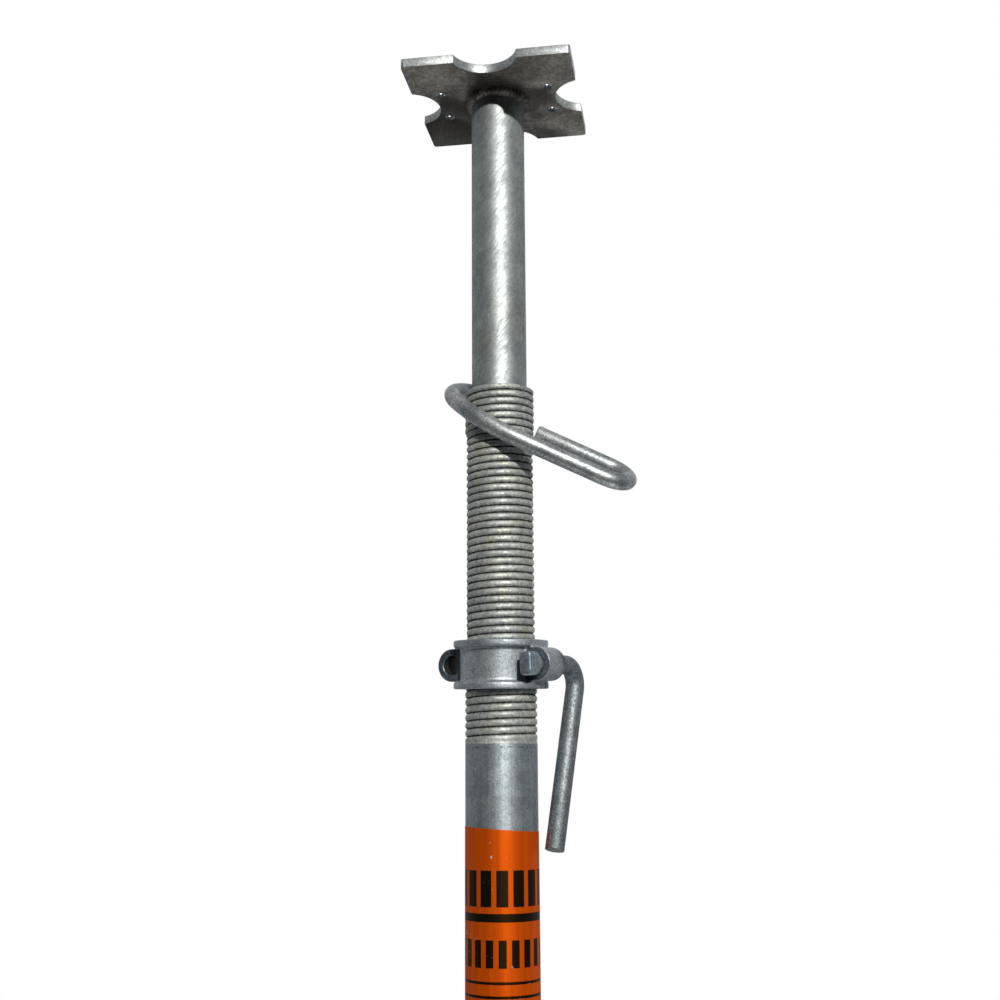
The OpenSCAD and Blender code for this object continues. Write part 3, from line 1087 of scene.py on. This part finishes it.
@dataclass
class CollarNut:
    """The cast nut: a barrel between two flanges, with a boss on each side."""

    prop: Prop
    height: float = 40.4 * MM
    flange_r: float = 40 * MM
    flange_t: float = 5.4 * MM
    barrel_r: float = 34.5 * MM
    bore_r: float = 30.5 * MM
    flare_deg: float = 3.5
    boss_r: float = 14 * MM
    boss_length: float = 27 * MM
    boss_bore_r: float = 8.3 * MM
    web_inset: float = 4 * MM
    mouth_ease: float = 0.8 * MM
    voxel: float = 0.7 * MM
    soften: int = 3

    def build(self) -> None:
        """Builds the casting and bores it."""
        swing = self.prop.joint("handle_swing")
        right = Vector(swing["pos_m"])
        along = -Vector(swing["axis"]).normalized()
        left = Vector(next(mount["pos_m"] for mount in self.prop.frame["record"]["mounts"]
                           if mount["name"] == "spare_handle_hole"))
        centre = (right + left) / 2
        across = (left - right).normalized()
        up = along.cross(across)
        place = Matrix.Translation(centre) @ Matrix((along, across, up)).transposed().to_4x4()
        offset = (left - right).length / 2
        half = self.height / 2
        bm = bmesh.new()
        slope = (self.flange_r - self.barrel_r) / 4
        profile = [(0, -half), (self.flange_r, -half), (self.flange_r, self.flange_t - half),
                   (self.barrel_r, self.flange_t + slope - half),
                   (self.barrel_r, half - self.flange_t - slope),
                   (self.flange_r, half - self.flange_t), (self.flange_r, half), (0, half)]
        revolve(bm, profile, 128, closed=False)
        for side in (-1, 1):
            at = Matrix.Translation((0, side * offset, 0))
            add_cylinder(bm, self.boss_r, self.boss_length, at @ SIDEWAYS, 64)
            web = offset - self.bore_r
            size = Matrix.Diagonal((self.boss_length, web, 2 * (self.boss_r - self.web_inset), 1))
            middle = Matrix.Translation((0, side * (offset - web / 2), 0))
            bmesh.ops.create_cube(bm, size=1, matrix=middle @ size)
        obj = to_object(bm, "collar_nut_casting")
        remesh = obj.modifiers.new("fuse", "REMESH")
        remesh.mode = "VOXEL"
        remesh.voxel_size = self.voxel

        def relax(bm: BMesh) -> None:
            """Rounds the casting's corners.

            Args:
                bm: The mesh.
            """
            for _ in range(self.soften):
                bmesh.ops.smooth_vert(bm, verts=bm.verts, factor=0.5, use_axis_x=True, use_axis_y=True,
                                      use_axis_z=True)

        bake(obj, 180, relax)
        carve(obj, self.bores(offset), 50)

        def seat(bm: BMesh) -> None:
            """Puts the nut in its place on the thread."""
            bmesh.ops.transform(bm, matrix=place, verts=bm.verts)

        bake(obj, 50, seat)

        def part(polygon: MeshPolygon) -> Finish:
            """Tells the bores, in painted shade, and the end faces of the bosses from the rest of the
            casting.

            Args:
                polygon: A face of the nut.

            Returns:
                Its finish.
            """
            from_axis = min((polygon.center - boss).cross(along).length for boss in (left, right))
            # The bores are painted in shade.
            if from_axis < self.boss_bore_r + 0.2 * MM:
                return Finish.HOLE_SHADE
            facing = abs(polygon.normal.dot(along)) > 0.7
            return Finish.BOSS_FACE if facing and from_axis < self.boss_r else Finish.NUT

        self.prop.place(
            obj, Body.COLLAR, "collar_nut", Finish.NUT, Finish.HOLE_SHADE, Finish.BOSS_FACE, choose=part)

    def bores(self, offset: float) -> Object:
        """Makes the cutter for the waisted main bore and the two boss bores with eased mouths.

        Args:
            offset: Distance from the nut's axis to each boss bore, in metres.

        Returns:
            The cutter.
        """
        cut = bmesh.new()
        reach = self.height / 2 + 1 * MM
        wide = self.bore_r + reach * math.tan(math.radians(self.flare_deg))
        waist = [(0, -reach), (wide, -reach), (self.bore_r, 0), (wide, reach), (0, reach)]
        revolve(cut, waist, 128, closed=False)
        body = to_object(cut, "cutter")
        cut = bmesh.new()
        end = self.boss_length / 2
        ease = self.mouth_ease
        flare = self.boss_bore_r + 2 * ease
        mouth = [(0, -end - ease), (flare, -end - ease), (self.boss_bore_r, -end + ease),
                 (self.boss_bore_r, end - ease), (flare, end + ease), (0, end + ease)]
        revolve(cut, mouth, 64, closed=False)
        bmesh.ops.remove_doubles(cut, verts=cut.verts, dist=1e-6)
        across = Matrix.Translation((0, offset, 0)) @ SIDEWAYS
        bmesh.ops.transform(cut, matrix=across, verts=cut.verts)
        copy = bmesh.ops.duplicate(cut, geom=[*cut.verts, *cut.edges, *cut.faces])["geom"]
        bmesh.ops.translate(cut, vec=(0, -2 * offset, 0),
                            verts=verts_of(copy))
        holes = to_object(cut, "cutter_bosses")
        join = body.modifiers.new("join", "BOOLEAN")
        join.operation = "UNION"
        join.solver = "MANIFOLD"
        join.object = holes
        bake(body)
        bpy.data.objects.remove(holes)
        return body


@dataclass
class Handle:
    """The bar through the right boss: forged flat in front, bent down behind."""

    prop: Prop
    bar_r: float = 8 * MM
    boss_length: float = 27 * MM
    head_gap: float = 2 * MM
    head_size: tuple[float, float, float] = (14.5 * MM, 11 * MM, 19.5 * MM)
    neck: float = 24 * MM
    bend_r: float = 16 * MM
    bend_deg: float = 109.5
    arm: float = 137 * MM
    rounding: float = 0.5 * MM

    def head_section(self, share: float) -> Callable[[Vector], Vector]:
        """Gives the bar's section on its way from round (0) to the forged flat head (1).

        Args:
            share: How far along that way.

        Returns:
            What maps a unit vector across the bar to the section.
        """
        _, wide, tall = self.head_size
        power = 2 + 3.5 * share
        half_w = self.bar_r + (wide / 2 - self.bar_r) * share
        half_h = self.bar_r + (tall / 2 - self.bar_r) * share

        def section(unit: Vector) -> Vector:
            """Puts a unit vector on a rounded rectangle."""
            reach = (abs(unit.z / half_w) ** power + abs(unit.y / half_h) ** power) ** (-1 / power)
            return unit * reach

        return section

    def build(self) -> None:
        """Draws the bar from the flat head to the end of the arm."""
        swing = self.prop.joint("handle_swing")
        along = -Vector(swing["axis"]).normalized()
        up = (Vector((0, 0, 1)) - along * along.z).normalized()
        place = Matrix.Translation(Vector(swing["pos_m"])) @ Matrix(
            (along, up, along.cross(up))).transposed().to_4x4()
        length = self.head_size[0]
        start = -self.boss_length / 2 - self.head_gap - length
        bar = BarSweep(self.bar_r, place=Matrix.Translation((start, 0, 0)))
        bar.start(self.rounding)
        flat = self.head_section(1.0)
        ease = 1.6 * MM
        self.reshape_start(bar, start, flat, ease)
        forge = 5 * MM
        bar.step(length - forge * 0.6 - ease, shape=flat)
        for share in (0.85, 0.5, 0.15, 0.0):
            bar.step(forge / 4, shape=self.head_section(share))
        bar.step(self.boss_length + self.head_gap + self.neck - forge * 0.4)
        bar.bend(self.bend_r, self.bend_deg, 20)
        bar.step(self.arm - self.rounding)
        bar.finish(self.rounding)
        obj = to_object(bar.bm, "handle_bar", place, 50)
        neck = Vector(swing["pos_m"]).dot(along) - self.boss_length / 2 - self.head_gap
        self.prop.place(
            obj, Body.HANDLE, "handle", Finish.HANDLE, Finish.FORGED_HEAD,
            choose=lambda face: Finish.FORGED_HEAD if face.center.dot(along) < neck else Finish.HANDLE)

    @staticmethod
    def reshape_start(bar: BarSweep, start: float, flat: Callable[[Vector], Vector], ease: float) -> None:
        """Shapes the closed first end to the flat head, with a well-rounded rim.

        Args:
            bar: The bar, with only its first end made.
            start: Place of that end along the bar.
            flat: The flat head's section.
            ease: Radius of the rim, in metres.
        """
        levels = sorted({round(vert.co.x, 7) for vert in bar.bm.verts})
        for vert in bar.bm.verts:
            index = levels.index(round(vert.co.x, 7))
            across = Vector((0, vert.co.y, vert.co.z)).normalized()
            inset = (1.0, 0.3, 0.0)[index]
            point = flat(across)
            point *= 1 - inset * ease / point.length
            vert.co = Vector((start + (0, 0.3, 1.0)[index] * ease, point.y, point.z))
        bar.place = Matrix.Translation((start + ease, 0, 0))


@dataclass
class LoopPin:
    """The pin that goes through the slots: a leg, a return bend, a front leg and a loop round the tube."""

    prop: Prop
    bar_r: float = 7.15 * MM
    leg: float = 70.1 * MM
    return_r: float = 20.4 * MM
    front_leg: float = 75.2 * MM
    sweep_r: float = 98.4 * MM
    sweep_deg: float = 42.7
    loop_r: float = 37.2 * MM
    loop_deg: float = 150
    tail: float = 4 * MM
    between: float = 1 * MM
    tip: tuple[float, float, float] = (32.3 * MM, -8.5 * MM, -39 * MM)
    turns_deg: tuple[float, float, float] = (27.6, 26.1, -3.9)
    rounding: float = 1.0 * MM

    def build(self) -> None:
        """Draws the pin and parks it on the tube."""
        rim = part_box("outer_tube")[1].z
        place = Matrix.Translation(Vector(self.tip) + Vector((0, 0, rim)))
        for axis, degrees in reversed(list(zip("XYZ", self.turns_deg))):
            place = place @ Matrix.Rotation(math.radians(degrees), 4, axis)
        bar = BarSweep(self.bar_r)
        bar.start(self.rounding)
        bar.step(self.leg - self.rounding)
        bar.bend(self.return_r, 180, 28)
        bar.step(self.front_leg)
        bar.bend(self.sweep_r, self.sweep_deg, 20)
        bar.step(self.between)
        bar.bend(self.loop_r, self.loop_deg, 32)
        bar.step(self.tail - self.rounding)
        bar.finish(self.rounding)
        obj = to_object(bar.bm, "loop_pin_bar", place, 50)
        self.prop.place(obj, Body.PIN, "g_pin", Finish.PIN)


# ---- Stage ----


@dataclass
class Stage:
    """Pale floor, even white surroundings, soft lamps and the camera."""

    floor_r: float = 1.1
    floor_glow: float = 0.56
    room: tuple[float, float] = (0.012, 0.36)
    room_turn: tuple[float, float] = (-0.45, 0.4)
    behind: tuple[float, float] = (0.82, 0.92)
    sun: tuple[float, float] = (11.0, 23.0)
    sun_strength: float = 3.5
    sun_width_deg: float = 2.5
    camera_at: tuple[float, float, float] = (0.0, -1.116, 1.354)
    camera_up_deg: float = 12.22
    camera_roll_deg: float = -0.34
    lens_ratio: float = 1.319

    def key(self) -> None:
        """Adds the sun, a little to the right of the camera and above it."""
        data = bpy.data.lights.new("sun", "SUN")
        data.energy = self.sun_strength
        data.angle = math.radians(self.sun_width_deg)
        data.color = linear("#fffaf2")[:3]
        lamp = bpy.data.objects.new("sun", data)
        azimuth, height = (math.radians(value) for value in self.sun)
        away = Vector((math.sin(azimuth) * math.cos(height), -math.cos(azimuth) * math.cos(height),
                       math.sin(height)))
        lamp.location = away * 4 + Vector((0, 0, 1.4))
        lamp.rotation_euler = away.to_track_quat("Z", "Y").to_euler()
        bpy.context.scene.collection.objects.link(lamp)

    def surroundings(self) -> None:
        """Sets white surroundings behind the prop and a dimmer, even light from all other directions.

        The camera and glass see the white everywhere, and metal sees it where it is: behind the prop.
        """
        world = bpy.data.worlds.new("white_room")
        world.use_nodes = True
        world.node_tree.nodes.clear()
        add = Nodes(world.node_tree).add
        pitch = math.radians(self.camera_up_deg)
        add("path", "LightPath")
        add("coords", "TexCoord")
        add("forward", "VectorMath DOT_PRODUCT", (
            "coords.Generated", (0, math.cos(pitch), math.sin(pitch))))
        add("behind", "MapRange", ("forward.Value", *self.behind))
        add("seen", "Math MULTIPLY", ("path.Is Glossy Ray", "behind"))
        for ray in ("Camera", "Transmission"):
            add("seen", "Math MAXIMUM", ("seen", f"path.Is {ray} Ray"))
        add("room", "MapRange", ("forward.Value", *self.room_turn, *self.room))
        add("strength", "Mix", {0: "seen", 2: "room", 3: 1.0}, data_type="FLOAT")
        add("background", "Background", {"Color": linear("#ffffff"), "Strength": "strength"})
        add("out", "OutputWorld", {"Surface": "background"})
        bpy.context.scene.world = world

    def floor(self) -> None:
        """Makes the round pale floor."""
        bm = bmesh.new()
        bmesh.ops.create_circle(bm, cap_ends=True, radius=self.floor_r, segments=96)
        obj = to_object(bm, "floor")
        material, add = new_material("pale_matt_floor")
        add("path", "LightPath")
        seen: Any = 0.0
        for ray in ("Camera", "Glossy", "Transmission"):
            seen = add("seen", "Math MAXIMUM", (f"path.Is {ray} Ray", seen))
        add("glow", "MapRange", (seen, 0.0, 1.0, 0.0, self.floor_glow))
        add("shader", "BsdfPrincipled", {
            "Base Color": linear("#e9e9e7"), "Roughness": 0.9, "Specular IOR Level": 0.1,
            "Emission Color": linear("#ffffff"), "Emission Strength": "glow"})
        add("out", "OutputMaterial", {"Surface": "shader"})
        obj.data.materials.append(material)

    def camera(self) -> None:
        """Sets the camera, level with the label and looking up the prop."""
        data = bpy.data.cameras.new("camera")
        data.sensor_width = 36.0
        data.lens = data.sensor_width * self.lens_ratio
        camera = bpy.data.objects.new("camera", data)
        bpy.context.scene.collection.objects.link(camera)
        camera.matrix_world = Matrix.Translation(self.camera_at) @ Matrix.Rotation(
            math.radians(90 + self.camera_up_deg), 4, "X") @ Matrix.Rotation(
            math.radians(self.camera_roll_deg), 4, "Z")
        bpy.context.scene.camera = camera

    def build(self) -> None:
        """Builds the stage."""
        bpy.context.scene.view_settings.view_transform = "Standard"
        self.surroundings()
        self.floor()
        self.camera()
        self.key()


def main() -> None:
    """Builds the prop round the frame, then the stage."""
    logging.basicConfig(level=logging.INFO, format="%(message)s")
    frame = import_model()
    prop = Prop(frame)
    assemblies = (EndPlates(prop), OuterTube(prop), Label(prop), InnerTube(prop), CollarNut(prop),
                  Handle(prop), LoopPin(prop))
    for assembly in assemblies:
        assembly.build()
        log.info("%s is built", type(assembly).__name__)
    Stage().build()


if __name__ == "__main__":
    main()
